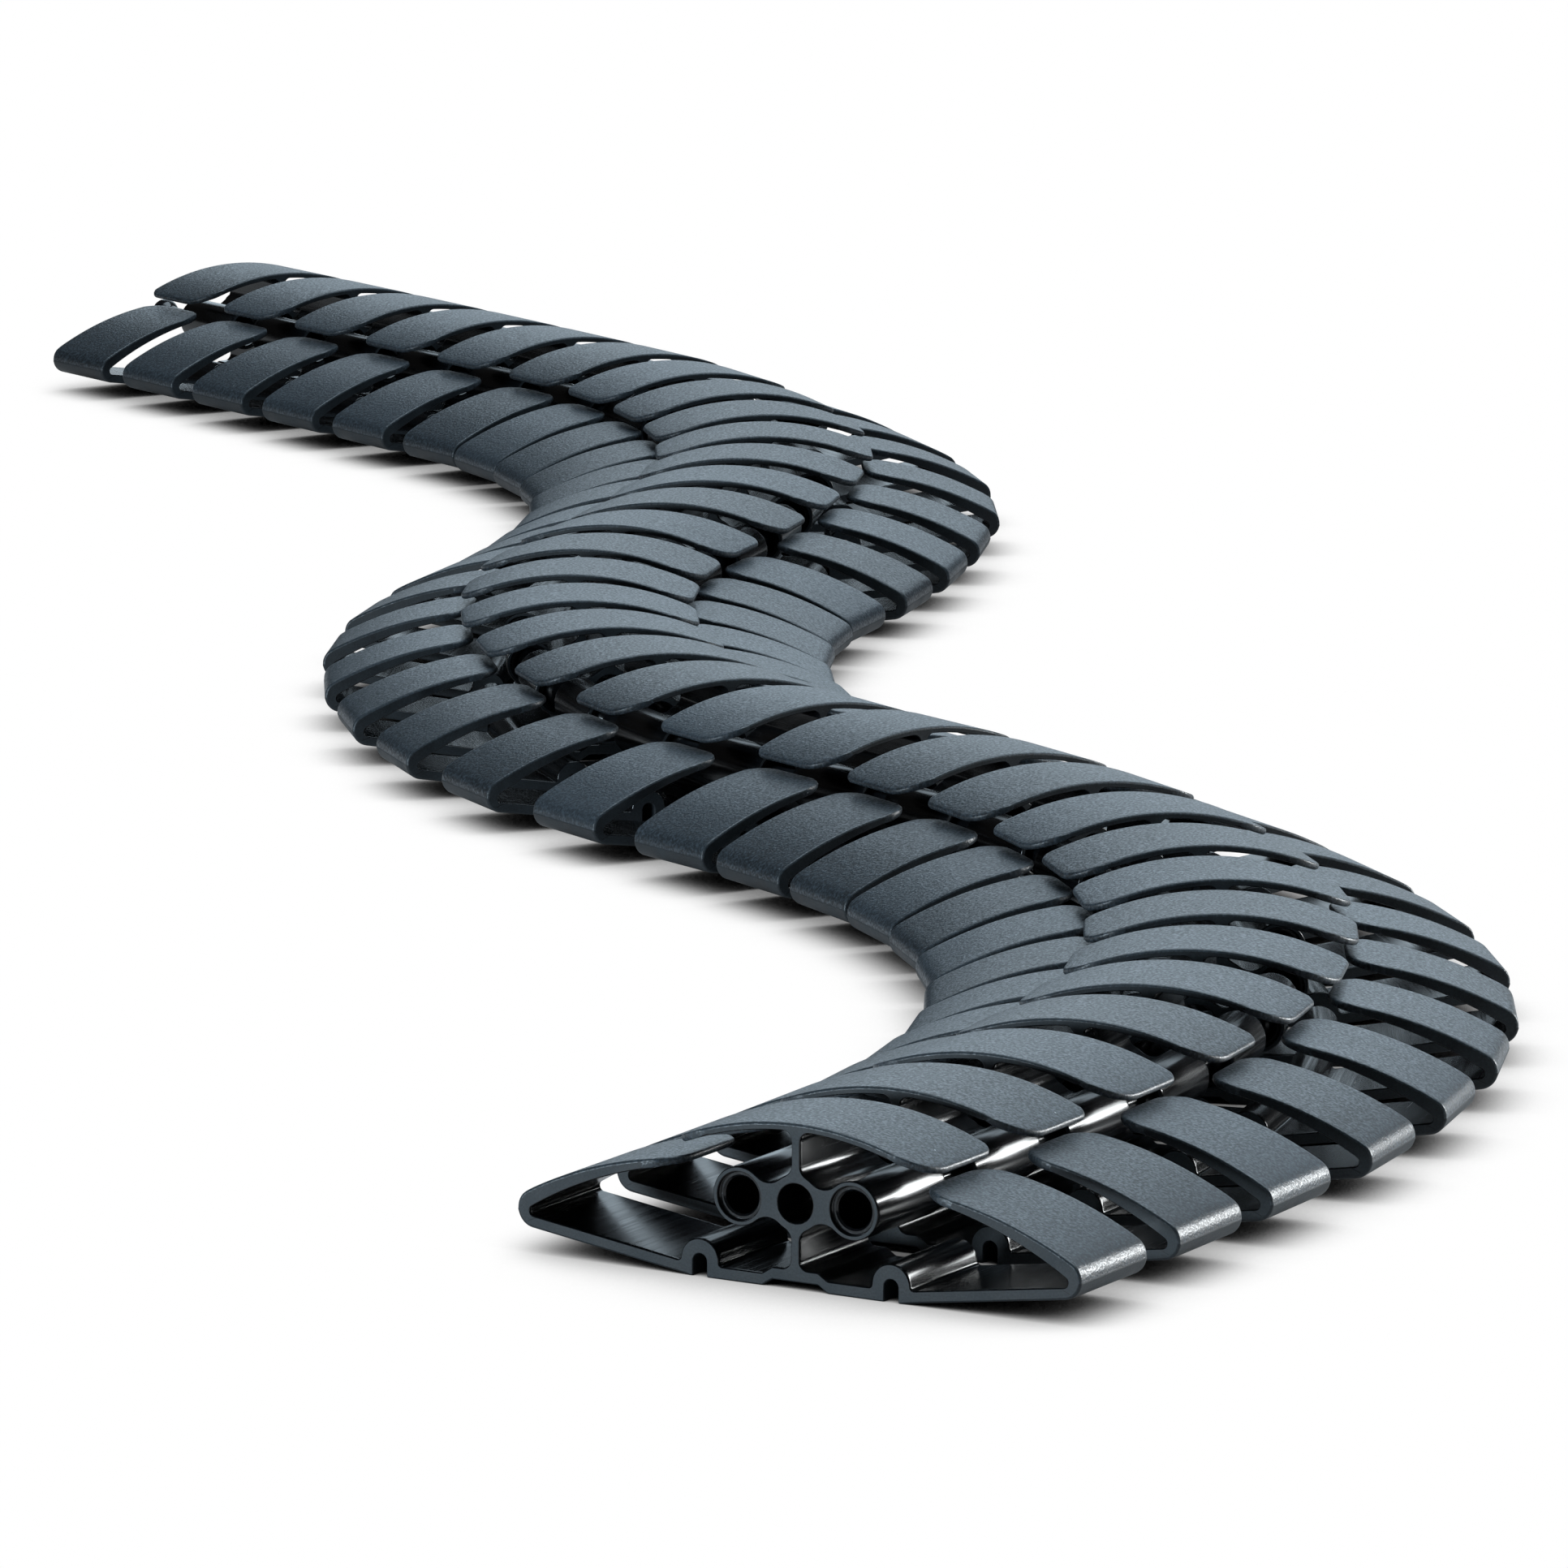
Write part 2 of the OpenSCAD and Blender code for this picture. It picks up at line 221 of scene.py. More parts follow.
# Nose with its flash, arched outer face of the wing and its free tip
def wingPart(w, tipOut, tipIn):
    v = vertebra
    nose, wingCentre = w["nose"], w["wingCentre"]
    flashStart, flashUp, flashDown, flashEnd = v["flashDeg"]
    easeStart = bearing(wingCentre, nose) - v["noseEaseDeg"]
    easeEnd = bearing(wingCentre, nose) + math.degrees(v["noseEase"] / v["wingArch"])
    tipMid = ((tipOut[0] + tipIn[0]) / 2, (tipOut[1] + tipIn[1]) / 2)
    tipDeg = bearing(tipMid, tipOut)
    return [
        (arcRun(nose, v["noseRound"], math.degrees(w["rise"]) - 90, flashStart, steps=9), noseUnder),
        (arcRun(nose, v["noseRound"] + v["flash"], flashUp, flashDown, steps=2), noseUnder),
        (arcRun(nose, v["noseRound"], flashEnd, easeStart, steps=7), outerSkin),
        (easeRun(nose, v["noseRound"], easeStart, wingCentre, v["wingArch"], easeEnd, steps=6), outerSkin),
        (arcRun(wingCentre, v["wingArch"], easeEnd, bearing(wingCentre, tipOut), steps=22), outerSkin),
        (arcRun(tipMid, (tipOut[1] - tipIn[1]) / 2, tipDeg, tipDeg + 180, steps=8), freeEdge),
    ]


# Inner face of the wing, narrow end of the chamber, its floor with the rib, and the strip over the groove
def chamberPart(w, tipIn):
    v = vertebra
    innerCentre, floorAlong, floorUp = w["innerCentre"], w["floorAlong"], w["floorUp"]
    floorDeg = math.degrees(w["rise"]) - 90
    fromCentre = w["floorStart"] + floorUp * v["chamberEnd"] - innerCentre
    endReach = reachAlong(fromCentre, floorAlong, v["wingArch"] - v["chamberEnd"])
    endCentre = innerCentre + fromCentre + floorAlong * endReach
    endDeg = bearing(innerCentre, endCentre)
    floorEnd = endCentre - floorUp * v["chamberEnd"]
    ribCentre = Vector((v["ribX"], v["ribHeight"]))
    feet = []
    for along, up in ((floorAlong, floorUp), (Vector((-1, 0)), Vector((0, 1)))):
        start = w["floorStart"] + up * v["ribFillet"] - ribCentre
        feet.append(ribCentre + start + along * reachAlong(start, along, v["ribRound"] + v["ribFillet"]))
    footOut, footIn = feet
    ribStart = bearing(ribCentre, footOut)
    ribStop = bearing(ribCentre, footIn) % 360
    strip = v["grooveHeight"] + v["base"]
    stripFoot = (v["grooveHalf"], v["base"])
    stripTop = (v["grooveHalf"] - v["grooveSlope"], strip)
    runs = [
        arcRun(innerCentre, v["wingArch"], bearing(innerCentre, tipIn), endDeg, steps=24),
        arcRun(endCentre, v["chamberEnd"], endDeg, floorDeg, steps=8),
        lineRun(floorEnd, footOut - floorUp * v["ribFillet"], steps=8),
        arcRun(footOut, v["ribFillet"], floorDeg, bearing(footOut, ribCentre) % 360 - 360, steps=4),
        arcRun(ribCentre, v["ribRound"], ribStart, ribStop, steps=18),
        arcRun(footIn, v["ribFillet"], bearing(footIn, ribCentre), -90, steps=4),
        lineRun((footIn.x, v["base"]), (stripFoot[0] + v["stripBlend"], v["base"]), steps=3),
        softCorner((footIn.x, v["base"]), stripFoot, stripTop, v["stripSoft"]),
        softCorner(stripFoot, stripTop, (0.0, strip), v["stripSoft"]),
    ]
    return [(run, innerWall) for run in runs]


# Web, boss, tube and top leaf with its rounded end
def corePart(leafX):
    v = vertebra
    axis = (0.0, v["axisHeight"])
    tube = (v["tubeX"], v["axisHeight"])
    side = v["web"] / 2
    filletX = side + v["webFillet"]
    filletLow = v["grooveHeight"] + v["base"] + v["webFillet"]
    bossX = side + v["bossFillet"]
    bossZ = math.sqrt((v["bossRound"] + v["bossFillet"]) ** 2 - bossX ** 2)
    bossLow = (bossX, axis[1] - bossZ)
    bossHigh = (bossX, axis[1] + bossZ)
    waistLow = lowerMeeting(axis, v["bossRound"] + v["tubeFillet"], tube, v["tubeRound"] + v["tubeFillet"])
    waistHigh = (waistLow.x, 2 * axis[1] - waistLow.y)
    tubeDeg = bearing(tube, waistHigh)
    leafCentre = (0.0, v["height"] - v["leafArch"])
    under = v["leafArch"] - v["leafThick"]
    filletHigh = leafCentre[1] + math.sqrt(under ** 2 - filletX ** 2) - v["webFillet"]
    mid = (v["leafArch"] + under) / 2
    halfThick = v["leafThick"] / 2
    end = math.atan2(halfThick, mid) + math.acos(leafX / math.hypot(mid, halfThick))
    endDeg = math.degrees(end)
    endMid = (leafCentre[0] + mid * math.cos(end), leafCentre[1] + mid * math.sin(end))
    inner = [
        arcRun((filletX, filletLow), v["webFillet"], -90, -180, steps=7),
        lineRun((side, filletLow), (side, bossLow[1]), steps=2),
        arcRun(bossLow, v["bossFillet"], 180, bearing(bossLow, axis), steps=5),
        arcRun(axis, v["bossRound"], bearing(axis, bossLow), bearing(axis, waistLow), steps=2),
        arcRun(waistLow, v["tubeFillet"], bearing(waistLow, axis), bearing(waistLow, tube), steps=6),
        arcRun(tube, v["tubeRound"], -tubeDeg, tubeDeg, steps=30),
        arcRun(waistHigh, v["tubeFillet"], bearing(waistHigh, tube), bearing(waistHigh, axis), steps=6),
        arcRun(axis, v["bossRound"], bearing(axis, waistHigh), bearing(axis, bossHigh), steps=2),
        arcRun(bossHigh, v["bossFillet"], bearing(bossHigh, axis), -180, steps=5),
        lineRun((side, bossHigh[1]), (side, filletHigh), steps=2),
        arcRun((filletX, filletHigh), v["webFillet"], 180, 90, steps=6),
        arcRun(leafCentre, under, math.degrees(math.acos(filletX / under)), endDeg, steps=16),
    ]
    return [(run, innerWall) for run in inner] + [
        (arcRun(endMid, halfThick, endDeg - 180, endDeg, steps=10), freeEdge),
        (arcRun(leafCentre, v["leafArch"], endDeg, 90, steps=20), outerSkin),
        ([(0.0, v["height"])], outerSkin),
    ]


# Right half of the front view, from the groove by the nose and chamber to the crown: (x, z, finish, share)
def rightHalf(leafX, tipX):
    v = vertebra
    w = wingFrame()
    tipEnd = tipX + v["tipThick"] / 2
    tipOut, tipIn = [(tipEnd, c.y + math.sqrt(v["wingArch"] ** 2 - (tipEnd - c.x) ** 2))
                     for c in (w["wingCentre"], w["innerCentre"])]
    parts = undersidePart(w) + wingPart(w, tipOut, tipIn) + chamberPart(w, tipIn) + corePart(leafX)
    return [(p[0], p[1]) + stretch for points, stretch in parts for p in points]


# Whole closed outline with the way each point faces
def outline(leafX, tipX):
    right = rightHalf(leafX, tipX)
    left = [(-right[k][0], right[k][1], right[k - 1][2], right[k][3]) for k in range(len(right) - 2, 0, -1)]
    loop = right + left
    count = len(loop)
    facing = []
    for k in range(count):
        a, p, b = (Vector(loop[(k + s) % count][:2]) for s in (-1, 0, 1))
        before = Vector((p.y - a.y, a.x - p.x)).normalized()
        after = Vector((b.y - p.y, p.x - b.x)).normalized()
        n = (before + after).normalized()
        facing.append(n / max(vertebra["mitreLimit"], n.dot(before)))
    return loop, facing


# How far a round corner of a leaf or wing has drawn back at a distance from its end
def cornerInset(distance, radius):
    return radius - math.sqrt(radius ** 2 - (radius - distance) ** 2) if distance < radius else 0.0


# Stations along the spine: (distance from the front, how much the end round takes off there)
def stations():
    v = vertebra
    length = v["rear"] - v["front"]
    quarter = [math.radians(90 * k / v["edgeSteps"]) for k in range(v["edgeSteps"] + 1)]
    places = [(v["frontEdge"] * (1 - math.cos(a)), v["frontEdge"] * (1 - math.sin(a))) for a in quarter]
    places += [(d, 0.0) for d in v["fromFront"]]
    places += [(length - d, 0.0) for d in v["fromRear"]]
    places += [(length - v["rearEdge"] * (1 - math.cos(a)), v["rearEdge"] * (1 - math.sin(a)))
               for a in reversed(quarter)]
    return places


# Body between its two ends: one ring of the outline at each station
def loftBody(bm, finish, rim):
    v = vertebra
    length = v["rear"] - v["front"]
    rings = []
    for d, taken in stations():
        e = length - d
        leafX = v["leafHalf"] - max(cornerInset(d, v["leafFrontCorner"]), cornerInset(e, v["leafRearCorner"]))
        tipX = v["tipX"] + max(cornerInset(d, v["wingFrontCorner"]), cornerInset(e, v["wingRearCorner"]))
        loop, facing = outline(leafX, tipX)
        ring = []
        for (x, z, _, share), n in zip(loop, facing):
            corner = bm.verts.new((x - n.x * taken * share, v["front"] + d, z - n.y * taken * share))
            corner[rim] = 1.0 if 0 < min(d, e) < v["rimReach"] else 0.0
            ring.append(corner)
        rings.append(ring)
    finishes = [point[2] for point in loop]  # the same at every station
    for a, b in zip(rings, rings[1:]):
        for k in range(len(a)):
            n = (k + 1) % len(a)
            bm.faces.new((a[k], a[n], b[n], b[k]))[finish] = finishes[k]
    return rings[0], rings[-1]


# Turned surface about a tube's or stud's axis along y: profile is a list of (radius, y), 0 on the axis
def turned(bm, x, profile, segments):
    z = vertebra["axisHeight"]
    angles = [2 * math.pi * k / segments for k in range(segments)]
    rings, faces = [], []
    for radius, y in profile:
        around = angles if radius else [0.0]
        rings.append([bm.verts.new((x + radius * math.cos(a), y, z + radius * math.sin(a))) for a in around])
    for a, b in zip(rings, rings[1:]):
        for k in range(segments):
            n = (k + 1) % segments
            if len(b) == 1:
                corners = (a[k], a[n], b[0])
            elif len(a) == 1:
                corners = (a[0], b[n], b[k])
            else:
                corners = (a[k], a[n], b[n], b[k])
            faces.append(bm.faces.new(corners))
    return rings, faces


# Blind socket with its mouth, snap lip and ball bore
def socketProfile():
    j = ballJoint
    y0 = vertebra["front"]
    edge = j["mouthEdge"]
    soft = edge * j["edgeShare"]
    mouth, lip, bore = j["mouthRound"], j["lipRound"], j["boreRound"]
    shelf, lipEnd, end = y0 + j["mouthDepth"], y0 + j["lipEnd"], y0 + j["boreEnd"]
    return [(mouth + edge, y0), (mouth + soft, y0 + soft), (mouth, y0 + edge),
            (mouth, shelf - j["mouthCorner"]), (mouth - j["mouthCorner"], shelf),
            (lip + j["lipChamfer"], shelf), (lip, shelf + j["lipChamfer"]), (lip, lipEnd),
            (bore, lipEnd + bore - lip), (bore, end - j["boreCorner"]),
            (bore - j["boreCorner"], end), (0.0, end)]


# Plain bore through the middle boss
def throughProfile():
    j = ballJoint
    y0, y1 = vertebra["front"], vertebra["rear"]
    edge = j["mouthEdge"]
    soft = edge * j["edgeShare"]
    bore = j["middleBore"]
    return [(bore + edge, y0), (bore + soft, y0 + soft), (bore, y0 + edge), (bore, (y0 + y1) / 2),
            (bore, y1 - edge), (bore + soft, y1 - soft), (bore + edge, y1)]


# Ball on its neck, with the foot sunk into the rear end of the tube
def studProfile():
    j = ballJoint
    y1, centre = vertebra["rear"], vertebra["pitch"]
    ball, neck, fillet = j["ballRound"], j["neckRound"], j["neckFillet"]
    foot = neck + fillet
    profile = [(0.0, y1 - j["studRoot"]), (foot, y1 - j["studRoot"]), (foot, y1 - j["studSeat"])]
    for k in range(j["filletSteps"] + 1):
        a = math.radians(90 * k / j["filletSteps"])
        profile.append((neck + fillet * (1 - math.sin(a)), y1 + fillet * (1 - math.cos(a))))
    meet = math.asin(neck / ball)
    profile.append((neck, centre - ball * math.cos(meet) - j["neckBlend"]))
    first = meet + j["ballStart"]
    for k in range(j["ballSteps"]):
        a = first + (math.pi - first) * k / j["ballSteps"]
        profile.append((ball * math.sin(a), centre - ball * math.cos(a)))
    return profile + [(0.0, centre + ball)]


# Flat end between the outline and the mouths in it
def fillEnd(bm, outer, holes):
    loops = [outer] + holes
    flat = [corner for loop in loops for corner in loop]
    triangles = tessellate_polygon([[corner.co.copy() for corner in loop] for loop in loops])
    return [bm.faces.new([flat[k] for k in triangle]) for triangle in triangles]


def makeVertebra():
    v, j = vertebra, ballJoint
    bm = bmesh.new()
    finish = bm.faces.layers.int.new("finish")
    rim = bm.verts.layers.float.new("rim")  # 1 on the rounded edges at the two ends, where handling rubs
    local = bm.verts.layers.float_vector.new("local")  # place on the moulding, in millimetres
    frontRing, rearRing = loftBody(bm, finish, rim)
    across = ((-v["tubeX"], socketProfile()), (0.0, throughProfile()), (v["tubeX"], socketProfile()))
    bores = [turned(bm, x, profile, j["boreSegments"]) for x, profile in across]
    mouths = [rings[0] for rings, faces in bores]
    middleRings = bores[1][0]
    ends = fillEnd(bm, frontRing, mouths) + fillEnd(bm, rearRing, [middleRings[-1]])
    for face in ends:
        face[finish] = endFinish
    studs = [turned(bm, x, studProfile(), j["studSegments"]) for x in (-v["tubeX"], v["tubeX"])]
    for rings, faces in bores + studs:
        for face in faces:
            face[finish] = innerFinish
    bmesh.ops.remove_doubles(bm, verts=bm.verts[:], dist=v["weld"])
    bmesh.ops.recalc_face_normals(bm, faces=bm.faces[:])
    for face in bm.faces:
        face.smooth = face[finish] != endFinish or abs(face.normal.y) < v["flatEnd"]
    for edge in bm.edges:
        edge.smooth = not (edge.is_manifold and edge.calc_face_angle(0) > math.radians(v["sharpDeg"]))
    openEdges = sum(1 for edge in bm.edges if not edge.is_manifold)
    for corner in bm.verts:
        corner[local] = corner.co
        corner.co = corner.co / 1000
    mesh = bpy.data.meshes.new("vertebraMoulding")
    bm.to_mesh(mesh)
    bm.free()
    mesh.calc_loop_triangles()
    print("vertebra made:", len(mesh.loop_triangles), "triangles,", openEdges, "open edges")
    return bpy.data.objects.new("vertebraMoulding", mesh)


# Sizes in mm, ranges of the noise from low to high; roughness is that of the pits and of the ridges
outerLook = {
    "dark": "#0c0f11", "light": "#474f56", "rubbed": "#2f363b", "speckColour": "#b4bcc0", "ior": 1.49,
    "grainMm": 0.5, "grainDepthMm": 0.11, "grainStrength": 0.8,
    "pitRange": (0.42, 0.72), "pitShare": 0.8, "roughRange": (0.3, 0.7), "roughness": (0.52, 0.3),
    "cloudMm": 14.0, "cloudShare": 0.3, "toneShare": 0.3,
    "speckMm": 6.0, "speckShare": 0.4, "speckEdge": (0.014, 0.032),
}


# Polypropylene, moulded against spark-eroded steel: an even satin grain that sparkles where light grazes it
def erodedPolypropylene():
    look = outerLook
    material, tree = newMaterial("sparkErodedPolypropylene")
    place = addNode(tree, "ShaderNodeTexCoord").outputs["Object"]
    tone = addNode(tree, "ShaderNodeAttribute", attribute_name="tone").outputs["Fac"]
    rim = addNode(tree, "ShaderNodeAttribute", attribute_name="rim").outputs["Fac"]
    # pits of the eroded steel, about 0.1 mm in life and drawn five times coarser so that they show
    grain = addNode(tree, "ShaderNodeTexNoise",
                    {"Scale": 1000 / look["grainMm"], "Detail": 1.5, "Roughness": 0.6},
                    {"Vector": place}).outputs["Fac"]
    cloud = addNode(tree, "ShaderNodeTexNoise", {"Scale": 1000 / look["cloudMm"], "Detail": 3.0},
                    {"Vector": place}).outputs["Fac"]
    pits = addNode(tree, "ShaderNodeMapRange",
                   {1: look["pitRange"][0], 2: look["pitRange"][1], 3: 0.0, 4: look["pitShare"]},
                   {0: grain}).outputs[0]
    clouded = addNode(tree, "ShaderNodeMath", {1: look["cloudShare"]}, {0: cloud, 2: pits},
                      operation="MULTIPLY_ADD").outputs[0]
    shade = addNode(tree, "ShaderNodeMath", {1: look["toneShare"]}, {0: tone, 2: clouded},
                  operation="MULTIPLY_ADD", use_clamp=True).outputs[0]
    body = addNode(tree, "ShaderNodeMix", {6: hexToLinear(look["dark"]), 7: hexToLinear(look["light"])},
                   {0: shade}, data_type="RGBA").outputs[2]
    rubbed = addNode(tree, "ShaderNodeMath", None, {0: rim, 1: cloud}, operation="MULTIPLY").outputs[0]
    worn = addNode(tree, "ShaderNodeMix", {7: hexToLinear(look["rubbed"])}, {0: rubbed, 6: body},
                   data_type="RGBA").outputs[2]
    # dust: one speck of about a quarter millimetre in some of the cells
    cells = addNode(tree, "ShaderNodeTexVoronoi", {"Scale": 1000 / look["speckMm"]}, {"Vector": place})
    near = addNode(tree, "ShaderNodeMapRange",
                   {1: look["speckEdge"][0], 2: look["speckEdge"][1], 3: 1.0, 4: 0.0},
                   {0: cells.outputs["Distance"]}).outputs[0]
    pick = addNode(tree, "ShaderNodeSeparateColor", links={0: cells.outputs["Color"]}).outputs[0]
    some = addNode(tree, "ShaderNodeMath", {1: look["speckShare"]}, {0: pick},
                   operation="LESS_THAN").outputs[0]
    speck = addNode(tree, "ShaderNodeMath", None, {0: near, 1: some}, operation="MULTIPLY").outputs[0]
    colour = addNode(tree, "ShaderNodeMix", {7: hexToLinear(look["speckColour"])}, {0: speck, 6: worn},
                     data_type="RGBA").outputs[2]
    rough = addNode(tree, "ShaderNodeMapRange",
                    {1: look["roughRange"][0], 2: look["roughRange"][1],
                     3: look["roughness"][0], 4: look["roughness"][1]}, {0: grain}).outputs[0]
    bump = addNode(tree, "ShaderNodeBump",
                   {"Strength": look["grainStrength"], "Distance": look["grainDepthMm"] / 1000},
                   {"Height": grain}).outputs[0]
    shader = addNode(tree, "ShaderNodeBsdfPrincipled", {"IOR": look["ior"]},
                     {"Base Color": colour, "Roughness": rough, "Normal": bump})
    addNode(tree, "ShaderNodeOutputMaterial", links={"Surface": shader.outputs[0]})
    return material


# Here roughness is that between the streaks and on them
innerLook = {
    "dark": "#0b0c0e", "light": "#181b1e", "ior": 1.49,
    "streakMm": 0.45, "streakLengthMm": 26.0, "streakDepthMm": 0.006, "streakStrength": 0.12,
    "streakShift": 37.0, "streakRange": (0.45, 0.75), "roughRange": (0.35, 0.7), "roughness": (0.15, 0.28),
}


# Polypropylene off polished cores: nearly black and glossy, with drag streaks along the draw
def polishedPolypropylene():
    look = innerLook
    material, tree = newMaterial("corePolishedPolypropylene")
    local = addNode(tree, "ShaderNodeAttribute", attribute_name="local").outputs["Vector"]
    tone = addNode(tree, "ShaderNodeAttribute", attribute_name="tone").outputs["Fac"]
    across, along = 1 / look["streakMm"], 1 / look["streakLengthMm"]
    stretch = addNode(tree, "ShaderNodeMapping", {"Scale": (across, along, across)},
                      {"Vector": local}).outputs[0]
    shift = addNode(tree, "ShaderNodeMath", {1: look["streakShift"]}, {0: tone},
                    operation="MULTIPLY").outputs[0]  # streaks of its own for each vertebra
    streak = addNode(tree, "ShaderNodeTexNoise", {"Scale": 1.0, "Detail": 4.0, "Roughness": 0.6},
                     {"Vector": stretch, "W": shift}, noise_dimensions="4D").outputs["Fac"]
    shade = addNode(tree, "ShaderNodeMapRange",
                  {1: look["streakRange"][0], 2: look["streakRange"][1], 3: 0.0, 4: 1.0},
                  {0: streak}).outputs[0]
    colour = addNode(tree, "ShaderNodeMix", {6: hexToLinear(look["dark"]), 7: hexToLinear(look["light"])},
                     {0: shade}, data_type="RGBA").outputs[2]
    rough = addNode(tree, "ShaderNodeMapRange",
                    {1: look["roughRange"][0], 2: look["roughRange"][1],
                     3: look["roughness"][0], 4: look["roughness"][1]}, {0: streak}).outputs[0]
    bump = addNode(tree, "ShaderNodeBump",
                   {"Strength": look["streakStrength"], "Distance": look["streakDepthMm"] / 1000},
                   {"Height": streak}).outputs[0]
    shader = addNode(tree, "ShaderNodeBsdfPrincipled", {"IOR": look["ior"]},
                     {"Base Color": colour, "Roughness": rough, "Normal": bump})
    addNode(tree, "ShaderNodeOutputMaterial", links={"Surface": shader.outputs[0]})
    return material


# The knit line runs outwards across each nose and falls, in mm on the moulding
endLook = {
    "dark": "#191c1f", "light": "#2d3337", "line": "#0b0d0f", "ior": 1.4,
    "grainMm": 0.32, "grainShare": 0.7, "grainDepthMm": 0.03, "grainStrength": 0.5,
    "cloudMm": 6.0, "mixRange": (0.55, 1.15), "roughRange": (0.3, 0.7), "roughness": (0.43, 0.6),
    "lineStart": 43.3, "lineEnd": 46.2, "lineHeight": 6.2, "lineFall": 0.44, "lineHalf": 0.07,
}


# Polypropylene at the two mould faces: a plain dull satin with faint flow clouds and a knit line at each nose
def dullPolypropylene():
    look = endLook
    material, tree = newMaterial("mouldFacePolypropylene")
    place = addNode(tree, "ShaderNodeTexCoord").outputs["Object"]
    local = addNode(tree, "ShaderNodeAttribute", attribute_name="local").outputs["Vector"]
    # grain of the mould face, about 0.1 mm in life and drawn three times coarser so that it shows
    grain = addNode(tree, "ShaderNodeTexNoise", {"Scale": 1000 / look["grainMm"], "Detail": 1.5},
                    {"Vector": place}).outputs["Fac"]
    cloud = addNode(tree, "ShaderNodeTexNoise", {"Scale": 1000 / look["cloudMm"], "Detail": 4.0},
                    {"Vector": place}).outputs["Fac"]
    both = addNode(tree, "ShaderNodeMath", {1: look["grainShare"]}, {0: grain, 2: cloud},
                   operation="MULTIPLY_ADD").outputs[0]
    shade = addNode(tree, "ShaderNodeMapRange",
                  {1: look["mixRange"][0], 2: look["mixRange"][1], 3: 0.0, 4: 1.0}, {0: both}).outputs[0]
    body = addNode(tree, "ShaderNodeMix", {6: hexToLinear(look["dark"]), 7: hexToLinear(look["light"])},
                   {0: shade}, data_type="RGBA").outputs[2]
    split = addNode(tree, "ShaderNodeSeparateXYZ", links={0: local}).outputs
    across = addNode(tree, "ShaderNodeMath", None, {0: split["X"]}, operation="ABSOLUTE").outputs[0]
    atMiddle = look["lineHeight"] + look["lineFall"] * look["lineStart"]  # its height if drawn on to the web
    lineAt = addNode(tree, "ShaderNodeMath", {1: -look["lineFall"], 2: atMiddle}, {0: across},
                     operation="MULTIPLY_ADD").outputs[0]
    onLine = addNode(tree, "ShaderNodeMath", {2: look["lineHalf"]}, {0: split["Z"], 1: lineAt},
                     operation="COMPARE").outputs[0]
    past = addNode(tree, "ShaderNodeMath", {1: look["lineStart"]}, {0: across},
                   operation="GREATER_THAN").outputs[0]
    short = addNode(tree, "ShaderNodeMath", {1: look["lineEnd"]}, {0: across},
                    operation="LESS_THAN").outputs[0]
    within = addNode(tree, "ShaderNodeMath", None, {0: past, 1: short}, operation="MULTIPLY").outputs[0]
    knit = addNode(tree, "ShaderNodeMath", None, {0: within, 1: onLine}, operation="MULTIPLY").outputs[0]
    colour = addNode(tree, "ShaderNodeMix", {7: hexToLinear(look["line"])}, {0: knit, 6: body},
                     data_type="RGBA").outputs[2]
    rough = addNode(tree, "ShaderNodeMapRange",
                    {1: look["roughRange"][0], 2: look["roughRange"][1],
                     3: look["roughness"][0], 4: look["roughness"][1]}, {0: cloud}).outputs[0]
    bump = addNode(tree, "ShaderNodeBump",
                   {"Strength": look["grainStrength"], "Distance": look["grainDepthMm"] / 1000},
                   {"Height": grain}).outputs[0]
    shader = addNode(tree, "ShaderNodeBsdfPrincipled", {"IOR": look["ior"]},
                     {"Base Color": colour, "Roughness": rough, "Normal": bump})
    addNode(tree, "ShaderNodeOutputMaterial", links={"Surface": shader.outputs[0]})
    return material


# Geometry Nodes: sets one vertebra on its seat, turned to its heading, and gives each finish its material
def makeLayTree(materials):
    tree = bpy.data.node_groups.new("layVertebra", "GeometryNodeTree")
    tree.interface.new_socket("Geometry", in_out="OUTPUT", socket_type="NodeSocketGeometry")
    sockets = {}
    for name, kind in (("Moulding", "NodeSocketObject"), ("Seat", "NodeSocketVector"),
                       ("Heading", "NodeSocketFloat"), ("Tone", "NodeSocketFloat")):
        sockets[name] = tree.interface.new_socket(name, in_out="INPUT", socket_type=kind).identifier
    given = addNode(tree, "NodeGroupInput").outputs
    piece = addNode(tree, "GeometryNodeObjectInfo", {"As Instance": True}, {"Object": given["Moulding"]},
                    transform_space="ORIGINAL").outputs["Geometry"]
    seat = addNode(tree, "GeometryNodePoints", {"Count": 1}, {"Position": given["Seat"]}).outputs[0]
    turn = addNode(tree, "ShaderNodeCombineXYZ", links={"Z": given["Heading"]}).outputs[0]
    laid = addNode(tree, "GeometryNodeInstanceOnPoints",
                   links={"Points": seat, "Instance": piece, "Rotation": turn}).outputs[0]
    toned = addNode(tree, "GeometryNodeStoreNamedAttribute", {"Name": "tone"},
                    {"Geometry": laid, "Value": given["Tone"]},
                    data_type="FLOAT", domain="INSTANCE").outputs[0]
    result = addNode(tree, "GeometryNodeRealizeInstances", links={"Geometry": toned}).outputs[0]
    finish = addNode(tree, "GeometryNodeInputNamedAttribute", {"Name": "finish"},
                     data_type="INT").outputs["Attribute"]
    for number, material in enumerate(materials):
        same = addNode(tree, "FunctionNodeCompare", {3: number}, {2: finish},
                       data_type="INT", operation="EQUAL").outputs[0]
        result = addNode(tree, "GeometryNodeSetMaterial", {"Material": material},
                         {"Geometry": result, "Selection": same}).outputs[0]
    addNode(tree, "NodeGroupOutput", links={"Geometry": result})
    return tree, sockets


